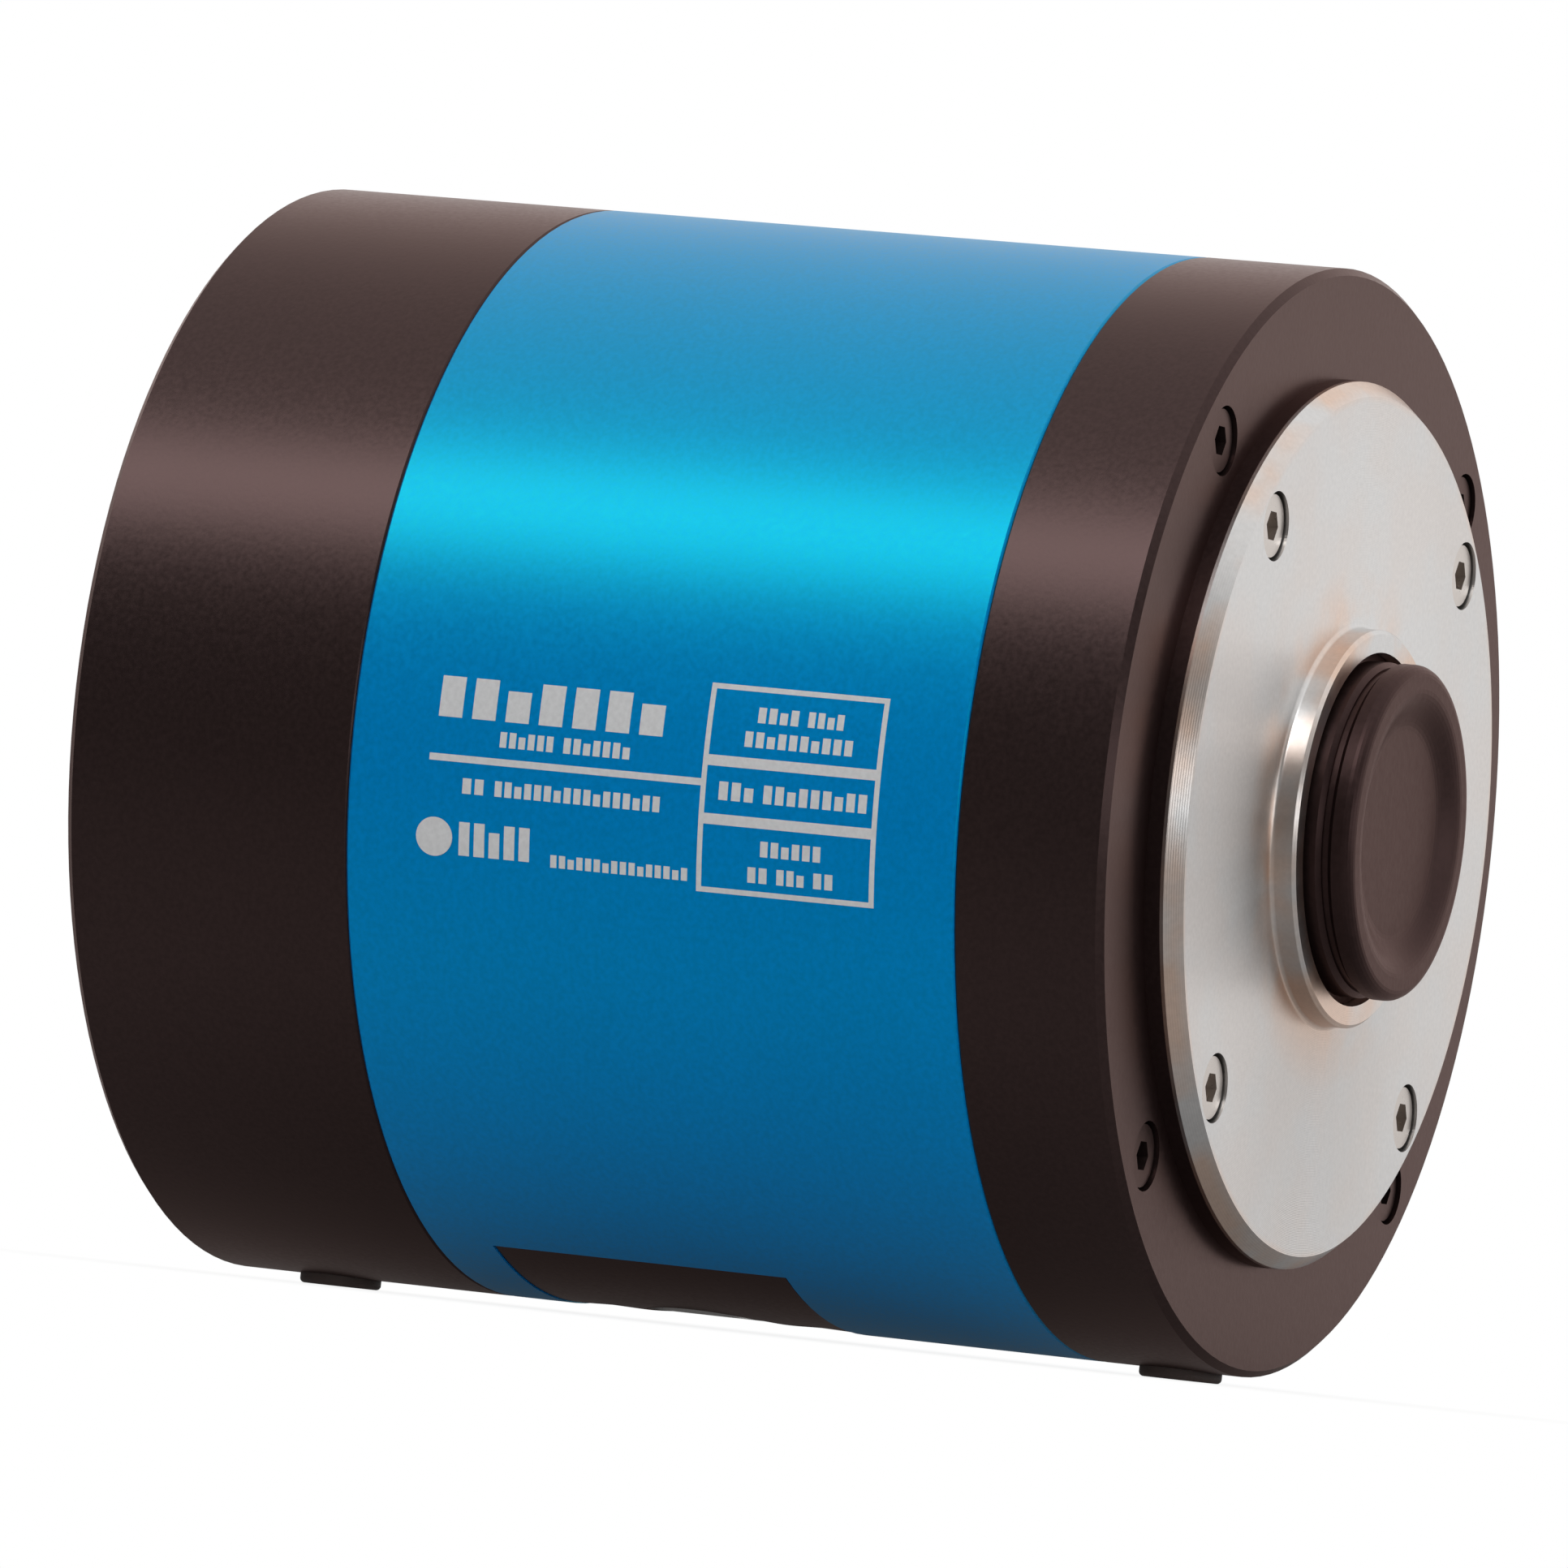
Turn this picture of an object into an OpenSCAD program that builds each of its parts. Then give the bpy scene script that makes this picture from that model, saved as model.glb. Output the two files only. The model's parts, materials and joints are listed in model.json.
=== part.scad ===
// Cooled C-mount guide camera: three turned body sections around one optical axis, a sealed and
// cooled sensor chamber at the front, and the heat sink, boards and fan behind it.
// The optical axis is Y. The lens side faces -Y, +Z is up and the feet are underneath.
// The origin is the centre of the C-mount seat, the face that a lens or nosepiece stops against.

/* [Body] */
// Outside diameter of the front ring, sleeve and rear casing
body_d = 80; // [78:0.5:110]
// Length of the front ring, from its face to the sleeve
ring_len = 11.1; // [10.5:0.1:20]
// Length of the coloured sleeve
sleeve_len = 46.6; // [44:0.1:80]
// Length of the rear casing
rear_len = 22.1; // [21.5:0.1:40]
// Wall of the sleeve
sleeve_wall = 6.5; // [6:0.1:7]
// Wall of the rear casing's shell
casing_wall = 3; // [2:0.1:4]
// Thickness of the rear casing's end wall
end_wall = 3; // [2.8:0.1:5]
// Length of the spigots that locate both ends in the sleeve
spigot_len = 2.5; // [1.5:0.1:4]
// Wall of those spigots
spigot_wall = 2.4; // [1.2:0.1:2.4]
// Chamfer around the front ring's face
face_chamfer = 0.5; // [0.1:0.05:1]
// Small chamfer on every other body edge
edge_break = 0.15; // [0.05:0.05:0.4]

/* [Mount flange] */
// Radius of the C-mount thread's bore, at its crests
thread_r = 12.27; // [12:0.01:14.8]
// Length of the C-mount thread
thread_len = 4.2; // [3:0.1:5]
// Radius of the plain lead-in ahead of the thread
lead_r = 12.75; // [12.4:0.05:15.4]
// Length of the plain lead-in
lead_len = 2.6; // [2:0.1:4]
// Wall of the raised boss around the lead-in
boss_wall = 1.6; // [1:0.1:3]
// Height of the boss above the flange's face
boss_h = 1.9; // [1:0.1:4]
// Radius of the fillet where the boss meets the disc
boss_root = 0.35; // [0.1:0.05:0.6]
// Height of the flange's tapered rim above the collar
flange_stand = 1.4; // [1:0.05:3]
// Height of the collar above the front ring's face
collar_h = 1.15; // [0.4:0.05:1.5]
// Width of the collar, which the flange's rim covers
collar_w = 1; // [0.5:0.05:1.2]
// Depth that the flange is let into the ring, below the ring's face
flange_inlet = 2.2; // [1.5:0.1:3]
// Wall of the hub behind the flange, outside the window's seat
hub_wall = 2; // [1.5:0.1:3]
// Land between the collar and the ring screws' counterbores
collar_land = 1.2; // [0.5:0.05:4]
// Distance from the flange's edge to its screws' centres
flange_screw_edge = 2.8; // [2.6:0.05:5]

/* [Window] */
// Radius of the window glass
window_r = 14.8; // [14:0.1:17]
// Thickness of the window glass
window_t = 1.5; // [1:0.1:3]
// Thickness of the gasket under the window
window_gasket_t = 0.6; // [0.4:0.1:1]
// Thickness of the window's retaining ring
retainer_t = 1.5; // [1:0.1:2]
// Width of the seat that carries the window
window_seat = 1.6; // [1:0.1:2]

/* [Dust plug] */
// Radius of the plug's flange and spigot
plug_r = 12.1; // [11:0.05:12.2]
// How far the plug's flange stands out from the mount's seat
plug_stand = 3.4; // [3:0.1:6]
// Thickness of the plug's flange
plug_flange_t = 1.9; // [1.5:0.1:2.8]
// Radius of the rounded edge around the plug's face
plug_round = 0.8; // [0.2:0.1:1]
// Width of the groove behind the plug's flange
plug_groove_w = 0.5; // [0.3:0.1:1]
// Depth of that groove
plug_groove_depth = 0.5; // [0.2:0.1:1]
// Depth of the dish in the plug's face
plug_dish_depth = 1; // [0.5:0.1:1.4]
// Width of the soft slope from the rim down into the dish
plug_dish_slope = 3; // [1:0.1:5]
// Width of the rim around the dish
plug_rim = 1.7; // [1.6:0.1:4]
// Length of the plug's spigot inside the mount
plug_spigot_len = 2.3; // [1.8:0.1:2.4]

/* [Fasteners] */
// Radius of the M2.5 screws' threads
screw_r = 1.2; // [1:0.05:1.45]
// Radius of their socket heads
head_r = 2.25; // [2:0.05:2.7]
// Height of their socket heads
head_h = 2.4; // [2:0.1:2.7]
// Width across flats of the hexagon sockets
hex_w = 2; // [1.5:0.1:2.6]
// Depth of the hexagon sockets
hex_depth = 1.3; // [0.8:0.1:1.8]
// Depth of the counterbores
cbore_depth = 2.7; // [2.4:0.1:3]
// Depth of thread that a screw takes up
bite = 5.5; // [4:0.1:7]
// Distance from the body's edge to the end screws' centres
screw_edge = 4.25; // [4:0.05:5]

/* [Sensor chamber] */
// Inside radius of the chamber
chamber_r = 22; // [21:0.5:24]
// Wall of the insulating chamber ring
chamber_wall = 8.7; // [8:0.1:8.9]
// Length of the chamber ring
chamber_len = 14.45; // [13:0.05:20]
// Distance from the mount's seat to the light-sensitive surface
back_focus = 17.526; // [17:0.001:19]
// Width of the sensor's ceramic package
package_w = 22; // [18:0.5:24]
// Height of the sensor's ceramic package
package_h = 17; // [14:0.5:20]
// Width of the sensor's light-sensitive die
die_w = 10.2; // [6:0.1:14]
// Height of the sensor's light-sensitive die
die_h = 8.3; // [5:0.1:11]
// Width of the cooler's cold plate
cold_plate_w = 15; // [12:0.5:16]
// Width of the cooler's hot plate
hot_plate_w = 20; // [16:0.5:24]

/* [Heat sink and fan] */
// Thickness of the heat sink's base
base_t = 4; // [3:0.1:6]
// Length of the fins behind the base
fin_len = 20; // [10:0.5:22]
// Thickness of a fin
fin_t = 1.2; // [0.8:0.1:2]
// Distance from one fin to the next
fin_pitch = 3.6; // [2.4:0.1:5]
// Number of fins
fin_count = 13; // [5:2:15]
// Width of the square fan frame
fan_w = 40; // [36:0.5:42]
// Thickness of the fan frame
fan_t = 10; // [8:0.5:12]
// Height of the fan's centre above the optical axis
fan_z = 6; // [4:0.5:8]
// Number of fan blades
blade_count = 7; // [5:1:9]

/* [Base pad and feet] */
// Length of the cut-out in the sleeve
pad_len = 23; // [20:0.5:30]
// Distance from the sleeve's rear end to the cut-out
pad_from_rear = 4.9; // [3:0.1:12]
// Half of the angle that the cut-out takes up
pad_half_angle = 24.1; // [18:0.1:30]
// Thickness of the base pad
pad_t = 3; // [2.5:0.1:3.2]
// How far the pad lies below the sleeve's surface
pad_recess = 0.1; // [0.05:0.05:1]
// Radius of the 1/4 inch tripod thread's bore
tripod_r = 2.6; // [2.4:0.05:3.3]
// Distance from the front ring's face to the front foot's centre
foot_from_face = 5.2; // [3.6:0.1:6]
// Distance from the rear end to the rear foot's centre
foot_from_end = 8.1; // [6.5:0.1:14]
// Radius of a rubber foot
foot_r = 3; // [2.5:0.1:4]
// Height of a foot below the body
foot_h = 0.7; // [0.4:0.1:2]

/* [Hidden] */
$fn = 96;
// Clearances: between located pieces, between a thread and its hole, around a screw's shank and
// around a screw's head; and a shaft's running clearance
fit = 0.05;
thread_gap = 0.05;
shank_gap = 0.2;
head_gap = 0.25;
running = 0.03;
cut = 1; // how far a cutting shape runs past the face that it cuts

// Places along the optical axis, from the mount's seat to the rear
flange_y = boss_h;
collar_y = flange_y + flange_stand;
ring_y = collar_y + collar_h;
inlet_y = ring_y + flange_inlet;
sleeve_y = ring_y + ring_len;
rear_y = sleeve_y + sleeve_len;
end_y = rear_y + rear_len;
thread_y1 = lead_len + thread_len;
window_y = thread_y1 + window_gasket_t;
retainer_y = window_y + window_t;
hub_stand = 0.2;
hub_y1 = retainer_y + retainer_t + hub_stand;
base_y = sleeve_y + chamber_len;
fin_y = base_y + base_t;
wall_y = end_y - end_wall;
fan_y = wall_y - fan_t;

// Radii about the optical axis
body_r = body_d / 2;
bore_r = body_r - sleeve_wall;
spigot_r = bore_r - fit;
spigot_in_r = spigot_r - spigot_wall;
end_screw_r = body_r - screw_edge;
cbore_r = head_r + head_gap;
collar_r = end_screw_r - cbore_r - collar_land;
flange_r = collar_r - collar_w - fit;
rim_r = collar_r - fit;
flange_screw_r = flange_r - flange_screw_edge;
boss_r = lead_r + boss_wall;
window_gap = 0.2;
seat_r = window_r + window_gap;
hub_r = seat_r + hub_wall;
tap_r = screw_r + thread_gap;
clear_r = screw_r + shank_gap;
chamber_out_r = chamber_r + chamber_wall;
chamber_screw_in = 4.6; // from the chamber's inside wall to its screws
flange_seal_out = 5.5; // from the hub to the flange's seal
chamber_seal_in = 1.9; // from the chamber's inside wall to its seals
chamber_screw_r = chamber_r + chamber_screw_in;
flange_seal_r = hub_r + flange_seal_out;
chamber_seal_r = chamber_r + chamber_seal_in;
seal_w = 1.3;

// The sealing lip around the plug's spigot, inside the lead-in
plug_lip_r = lead_r - fit;
plug_lip_y = 0.7;
plug_lip_w = 0.7;

// The sensor, from the front to the back, and its board
die_t = 0.674;
glass_t = 0.8;
glass_gap = 0.63;
package_t = 2.7;
package_y = back_focus - glass_gap;
board_t = 1.6;
board_y = package_y + package_t;
sensor_board_gap = 0.5;
sensor_board_r = chamber_r - sensor_board_gap;
standoff_r = 2;
standoff_in = 4; // from the chamber's inside wall to the standoffs
standoff_at = chamber_r - standoff_in;
standoff_stud = base_t / 2;
small_screw_r = 0.95;
small_head_r = 1.8;
small_head_h = 1.3;
cold_neck_w = 12;
cold_neck_h = 10;
cold_neck_gap = 0.3;
cold_block_gap = 0.2;
cold_block_y = board_y + board_t + cold_block_gap;
plate_t = 0.8;
hot_plate_t = 1.2;
hot_plate_y = base_y - hot_plate_t;
pellet_h = 2.8;
pellet_w = 1.2;
pellet_n = 6;
pellet_y = hot_plate_y - pellet_h;
cold_plate_y = pellet_y - plate_t;
pellet_margin = 0.4;
pellet_pitch = (cold_plate_w - pellet_w - 2 * pellet_margin) / (pellet_n - 1);

// The pin header that takes the signals through the heat sink's base
header_w = 18;
header_h = 3;
header_z = -17;
pin_r = 0.32;
pin_n = 7;
pin_pitch = 2.54;
pot_wall = 1;
pot_w = header_w + 2 * pot_wall;
pot_h = header_h + 2 * pot_wall;
pin_cover = 1; // how much longer the connector is than the pins in it

// The boards behind the heat sink
main_w = 40;
main_z = -21;
main_gap = 0.6;
main_y = fin_y + main_gap;
io_set_in = 2.85; // from the sleeve's end to the socket board
io_y = rear_y + io_set_in;
io_w = 40;
io_h = 14;
io_z = -15.5;
io_gap = 0.1; // between the main board and the socket board
io_header_w = 24;
io_header_h = 4;
io_header_depth = 5;
io_post_r = 1.7;
io_post_screw = 1; // how far the post's screw shows ahead of the board
connector_len = 6;
chip_t = 1.2;
cpu_w = 13;
ram_w = 8;
ram_x = 13;
ram_len = 11;
chip_y = 10; // from the board's front edge to the memory chips
lug_w = 6;
lug_h = 4;
lug_x = 15;
lug_z = main_z - board_t - lug_h / 2;
post_x = 18;
post_z = -18;
fin_z = -12;
fin_gap = 0.6;
fin_top = bore_r - fin_gap;

// Sockets in the end wall
usb_x = -9.5;
usb_z = -23.6;
usb_w = 12.2;
usb_h = 10.6;
usb_depth = 12;
shell_t = 0.5;
tongue_w = 5.6;
tongue_h = 3.2;
tongue_drop = 0.8;
key_w = 4.4;
key_h = 1.4;
key_z = 3;
contact_set_back = 1; // of the tongue and the jack's pin, from the sockets' faces
socket_gap = 0.15;
jack_x = 9.5;
jack_w = 9;
jack_h = 10.4;
jack_r = 3.15;
jack_pin_r = 1.05;
jack_depth = 9;
led_r = 1.5;
led_z = -22;
lead_x = 15.15;
lead_w = 1.6;
lead_drop = 4;
socket_set_back = 0.3;

// The fan
fan_corner = 2.5;
fan_wall = 1;
fan_bore_r = fan_w / 2 - fan_wall;
fan_hole_in = 4;
fan_hole_at = fan_w / 2 - fan_hole_in;
fan_hole_r = 1.65;
fan_screw_r = 1.5;
fan_sink = 1.6; // depth of the fan screws' counterbores
fan_head_in = 0.2;
fan_screw_in = 7; // how far those screws reach past the end wall
lead_in = 2; // from the fan's front to the lead
rotor_hub_r = 8.6;
rotor_wall = 1;
rotor_gap = 0.8;
rotor_in = 0.6; // from the frame's front to the rotor
stay_t = 1.5;
stay_w = 2;
post_r = 3;
post_in = 2.6; // from the frame's front to the bush post
shaft_r = 1;
shaft_gap = 0.3;
bush_r = 2;
magnet_t = 1.1;
stator_gap = 0.5;
stator_in = 4; // from the frame's front to the winding
stator_arm = 2.6;
stator_core = 1;
blade_tip = 0.5;
blade_pitch = 38;
blade_t = 0.9;

// Slots in the end wall: rings of arcs ahead of the fan, and exhaust arcs at the sides
slot_w = 2.2;
slot_first = 5.5;
slot_pitch = 3.9;
slot_rings = 4;
slot_bridge = 2.2;
exhaust_r = [26.5, 30.3];
exhaust_half = 32;

// The base pad, its cut-out in the sleeve and the tripod insert
pad_y1 = rear_y - pad_from_rear;
pad_y0 = pad_y1 - pad_len;
pad_y = (pad_y0 + pad_y1) / 2;
pad_out_r = body_r - pad_recess;
pad_in_r = pad_out_r - pad_t;
pad_gap = 0.15;
insert_r = 5.4;
insert_neck_r = 4.4;
insert_recess = 0.1;
insert_face = pad_out_r - insert_recess;
insert_floor = pad_in_r * cos(asin(insert_r / pad_in_r));
insert_stand = 1; // how far the insert's neck stands into the sleeve's bore
pad_screw_at = 8.3;
pad_cbore = 1; // depth of the pad screws' counterbores
pad_head_h = 0.8;
foot_y_front = ring_y + foot_from_face;
foot_y_rear = end_y - foot_from_end;
foot_sink = 1.6;
foot_round = 0.35;

// ---- helpers -------------------------------------------------------------------------------

// Turns a shape made along +Z so that it runs along +Y, to the rear
module turned() {
    rotate([-90, 0, 0])
        children();
}

// A round bar along Y, from y0 to y1, centred on x and z
module bar(r, y0, y1, x = 0, z = 0) {
    translate([x, y0, z])
        turned()
            cylinder(h = y1 - y0, r = r);
}

// A tube about the optical axis, or about x and z
module tube(r_out, r_in, y0, y1, x = 0, z = 0) {
    difference() {
        bar(r_out, y0, y1, x, z);
        bar(r_in, y0 - cut, y1 + cut, x, z);
    }
}

// A rectangular block from y0 to y1, w wide and h high, centred on x and z
module block(w, h, y0, y1, x = 0, z = 0) {
    translate([x - w / 2, y0, z - h / 2])
        cube([w, y1 - y0, h]);
}

// A block with its four long edges rounded to radius r
module round_block(w, h, r, y0, y1, x = 0, z = 0) {
    block(w - 2 * r, h, y0, y1, x, z);
    block(w, h - 2 * r, y0, y1, x, z);
    for (sx = [-1, 1], sz = [-1, 1])
        bar(r, y0, y1, x + sx * (w / 2 - r), z + sz * (h / 2 - r));
}

// A solid of revolution about the optical axis: points are [radius, y]
module spun(points) {
    turned()
        rotate_extrude()
            polygon(points);
}

// A body section's outside, with its two end edges broken
module barrel(y0, y1, break0, break1) {
    spun([
        [0, y0],
        [body_r - break0, y0],
        [body_r, y0 + break0],
        [body_r, y1 - break1],
        [body_r - break1, y1],
        [0, y1]
    ]);
}

// Copies at four places on a circle of radius r, starting at angle first
module four_around(r, first = 45) {
    for (a = [first : 90 : first + 270])
        translate([r * cos(a), 0, r * sin(a)])
            children();
}

// Copies at the four corners of a square, at distance d each way, about the height z
module four_corners(d, z = 0) {
    for (sx = [-1, 1], sz = [-1, 1])
        translate([sx * d, 0, z + sz * d])
            children();
}

// A socket-head screw that points to the rear, the top of its head at y, under_head long
module socket_screw(y, under_head) {
    difference() {
        union() {
            bar(head_r, y, y + head_h);
            bar(screw_r, y + head_h - fit, y + head_h + under_head);
        }
        translate([0, y - cut, 0])
            turned()
                cylinder(h = hex_depth + cut, r = hex_w / sqrt(3), $fn = 6);
    }
}

// The hole for such a screw: a counterbore from the face at y, then a clearance hole to y1
module screw_hole(y, y1) {
    bar(cbore_r, y - cut, y + cbore_depth);
    bar(clear_r, y, y1 + cut);
}

// A ring of round section that lies in a groove
module o_ring(r, y0) {
    sec = seal_w / 2 - fit / 2;
    translate([0, y0 + seal_w / 2, 0])
        turned()
            rotate_extrude()
                translate([r, 0])
                    circle(r = sec, $fn = 32);
}

// The groove for such a ring, from its open face at y0 to its floor at y1
module seal_groove(r, y0, y1) {
    tube(r + seal_w / 2 + fit, r - seal_w / 2 - fit, y0, y1);
}

// A curved slot through the end wall: its middle radius, and its two ends' angles
module arc_slot(r, a0, a1, z = 0) {
    translate([0, wall_y - cut, z])
        rotate([-90, 0, 0])
            rotate([0, 0, a0])
                rotate_extrude(angle = a1 - a0)
                    translate([r - slot_w / 2, 0])
                        square([slot_w, end_wall + 2 * cut]);
    for (a = [a0, a1])
        bar(slot_w / 2 - fit, wall_y - cut, end_y + cut, r * cos(a), z - r * sin(a));
}

// ---- front: plug, flange, window and ring --------------------------------------------------

// Push-in cap with a grooved waist, a dished face and a sealing lip inside the mount
module dust_plug() {
    y0 = -plug_stand;
    y1 = y0 + plug_flange_t;
    y2 = y1 + plug_groove_w;
    soft = 0.35;
    steps = 5;
    dish_r = plug_r - plug_rim;
    waist_r = plug_r - plug_groove_depth;
    dish_wall = [for (i = [0 : 2 * steps])
        let (a = 90 * i / steps)
        [dish_r - plug_dish_slope * (1 - i / (2 * steps)),
            y0 + plug_dish_depth * (1 + cos(a)) / 2]];
    face_edge = [for (i = [0 : steps])
        let (a = 90 * i / steps)
        [plug_r - plug_round + plug_round * sin(a), y0 + plug_round - plug_round * cos(a)]];
    color("dimgray")
        spun(concat([
            [0, y0 + plug_dish_depth]
        ], dish_wall, face_edge, [
            [plug_r, y1 - soft],
            [plug_r - soft, y1],
            [waist_r, y1],
            [waist_r, y2],
            [plug_r - soft, y2],
            [plug_r, y2 + soft],
            [plug_r, plug_lip_y],
            [plug_lip_r, plug_lip_y + soft],
            [plug_lip_r, plug_lip_y + plug_lip_w],
            [plug_r, plug_lip_y + plug_lip_w],
            [plug_r, plug_spigot_len - soft],
            [plug_r - soft, plug_spigot_len],
            [0, plug_spigot_len]
        ]));
}

// Turned disc with the C-mount thread in its boss and the window's seat in its hub
module c_mount_flange() {
    soft = 0.25;
    steps = 4;
    root = [for (i = [0 : steps])
        let (a = 90 * i / steps)
        [boss_r + boss_root * (1 - cos(a)), flange_y - boss_root * (1 - sin(a))]];
    color("silver")
        difference() {
            spun(concat([
                [thread_r, 0],
                [boss_r - soft, 0],
                [boss_r, soft]
            ], root, [
                [flange_r, flange_y],
                [rim_r, collar_y - soft],
                [rim_r, collar_y],
                [flange_r, collar_y],
                [flange_r, inlet_y],
                [hub_r, inlet_y],
                [hub_r, hub_y1],
                [seat_r, hub_y1],
                [seat_r, thread_y1],
                [thread_r, thread_y1]
            ]));
            bar(lead_r, -cut, lead_len);
            four_around(flange_screw_r)
                screw_hole(flange_y, inlet_y);
        }
}

// Four socket screws that hold the flange to the front ring
module flange_screws() {
    top = flange_y + cbore_depth - head_h;
    color("gainsboro")
        four_around(flange_screw_r)
            socket_screw(top, inlet_y - flange_y - cbore_depth + bite);
}

// Seal in the floor of the flange's inlet
module flange_o_ring() {
    color("black")
        o_ring(flange_seal_r, inlet_y);
}

// Flat gasket between the window and its seat
module window_gasket() {
    color("black")
        tube(window_r - fit, window_r - window_seat, thread_y1, window_y);
}

// Clear window that closes the chamber
module window_glass() {
    color("lightcyan", 0.4)
        bar(window_r, window_y, retainer_y);
}

// Threaded ring that holds the window, with two spanner slots
module window_retainer() {
    slot = 1.2;
    color("dimgray")
        difference() {
            tube(seat_r - fit, window_r - window_seat, retainer_y, retainer_y + retainer_t);
            block(2 * seat_r, slot, retainer_y + retainer_t / 2, retainer_y + retainer_t + cut);
        }
}

// Front end of the body, with the collar around the flange and the spigot in the sleeve
module front_ring() {
    color("#3a3330")
        difference() {
            union() {
                barrel(ring_y, sleeve_y, face_chamfer, edge_break);
                bar(collar_r, collar_y, ring_y + cut);
                tube(spigot_r, spigot_in_r, sleeve_y - cut, sleeve_y + spigot_len);
            }
            bar(flange_r + fit, collar_y - cut, inlet_y);
            bar(hub_r + fit, inlet_y - cut, sleeve_y + cut);
            bar(chamber_r, hub_y1 + fit, sleeve_y + cut);
            seal_groove(flange_seal_r, inlet_y - fit, inlet_y + seal_w);
            four_around(end_screw_r)
                screw_hole(ring_y, sleeve_y);
            four_around(flange_screw_r)
                bar(tap_r, inlet_y - cut, inlet_y + bite + fit);
            four_around(chamber_screw_r, 0)
                bar(tap_r, sleeve_y - bite, sleeve_y + cut);
            foot_pocket(foot_y_front);
        }
}

// Four socket screws from the front ring's face into the sleeve
module front_ring_screws() {
    top = ring_y + cbore_depth - head_h;
    color("#2b2725")
        four_around(end_screw_r)
            socket_screw(top, ring_len - cbore_depth + bite);
}

// ---- sensor chamber ------------------------------------------------------------------------

// Insulating ring between the front ring and the heat sink
module chamber_ring() {
    color("ivory")
        difference() {
            tube(chamber_out_r, chamber_r, sleeve_y, base_y);
            seal_groove(chamber_seal_r, sleeve_y - cut, sleeve_y + seal_w);
            seal_groove(chamber_seal_r, base_y - seal_w, base_y + cut);
            four_around(chamber_screw_r, 0)
                bar(clear_r, sleeve_y - cut, base_y + cut);
        }
}

// Seals at both ends of the chamber ring
module chamber_seals() {
    color("black")
        for (y = [sleeve_y, base_y - seal_w])
            o_ring(chamber_seal_r, y);
}

// Four long screws that clamp the heat sink and chamber ring to the front ring
module chamber_screws() {
    color("gainsboro")
        four_around(chamber_screw_r, 0)
            translate([0, fin_y - cbore_depth + head_h, 0])
                rotate([0, 0, 180])
                    socket_screw(0, base_t - cbore_depth + chamber_len + bite - fit);
}

// Ceramic sensor package, open to the front
module sensor_package() {
    rim = 2;
    color("dimgray")
        difference() {
            block(package_w, package_h, package_y, board_y);
            block(package_w - 2 * rim, package_h - 2 * rim, package_y - cut, back_focus + die_t);
        }
}

// Light-sensitive die at the back focus distance
module sensor_die() {
    color("darkslategray")
        block(die_w, die_h, back_focus, back_focus + die_t);
}

// Cover glass on the package
module sensor_cover_glass() {
    inset = 1;
    color("lightcyan", 0.4)
        block(package_w - inset, package_h - inset, package_y - glass_t, package_y);
}

// Round board that carries the sensor, open for the cold finger
module sensor_board() {
    color("darkgreen")
        difference() {
            bar(sensor_board_r, board_y, board_y + board_t);
            block(cold_neck_w + 2 * cold_neck_gap, cold_neck_h + 2 * cold_neck_gap,
                board_y - cut, board_y + board_t + cut);
            four_around(standoff_at)
                bar(small_screw_r + shank_gap, board_y - cut, board_y + board_t + cut);
        }
}

// Four insulating standoffs, with studs in the heat sink's base
module sensor_standoffs() {
    color("white")
        four_around(standoff_at)
            difference() {
                union() {
                    bar(standoff_r, board_y + board_t, base_y);
                    bar(screw_r, base_y - fit, base_y + standoff_stud);
                }
                bar(small_screw_r + thread_gap, board_y, board_y + board_t + bite);
            }
}

// Four small screws that hold the sensor board
module sensor_board_screws() {
    color("gainsboro")
        four_around(standoff_at) {
            bar(small_head_r, board_y - small_head_h, board_y);
            bar(small_screw_r, board_y - fit, board_y + board_t + bite - cut);
        }
}

// Block that carries the sensor's heat to the cooler
module cold_finger() {
    color("silver") {
        block(cold_neck_w, cold_neck_h, board_y, cold_block_y);
        block(cold_plate_w, cold_plate_w, cold_block_y, cold_plate_y);
    }
}

// Cold face of the thermoelectric cooler
module peltier_cold_plate() {
    color("white")
        block(cold_plate_w, cold_plate_w, cold_plate_y, pellet_y);
}

// Semiconductor pellets between the cooler's two faces
module peltier_pellets() {
    first = -(pellet_n - 1) / 2 * pellet_pitch;
    color("slategray")
        for (i = [0 : pellet_n - 1], j = [0 : pellet_n - 1])
            block(pellet_w, pellet_w, pellet_y, hot_plate_y,
                first + i * pellet_pitch, first + j * pellet_pitch);
}

// Hot face of the thermoelectric cooler
module peltier_hot_plate() {
    color("white")
        block(hot_plate_w, hot_plate_w, hot_plate_y, base_y);
}

// Pin header between the sensor board and the heat sink's base
module sensor_header() {
    color("black")
        block(header_w, header_h, board_y + board_t, base_y, 0, header_z);
}

// Potted block that seals the pins' way through the base
module feedthrough_potting() {
    color("black")
        difference() {
            block(pot_w, pot_h, base_y, fin_y, 0, header_z);
            pins(pin_r + fit, base_y - cut, fin_y + cut);
        }
}

// Pins through the potting, from the header to the connector
module feedthrough_pins() {
    color("gold")
        pins(pin_r, base_y, fin_y + connector_len - pin_cover);
}

// Two rows of pins, or of the holes for them
module pins(r, y0, y1) {
    first = -(pin_n - 1) / 2 * pin_pitch;
    for (i = [0 : pin_n - 1], side = [-1, 1])
        bar(r, y0, y1, first + i * pin_pitch, header_z + side * header_h / 4, $fn = 24);
}

// ---- heat sink, sleeve and base ------------------------------------------------------------

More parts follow.
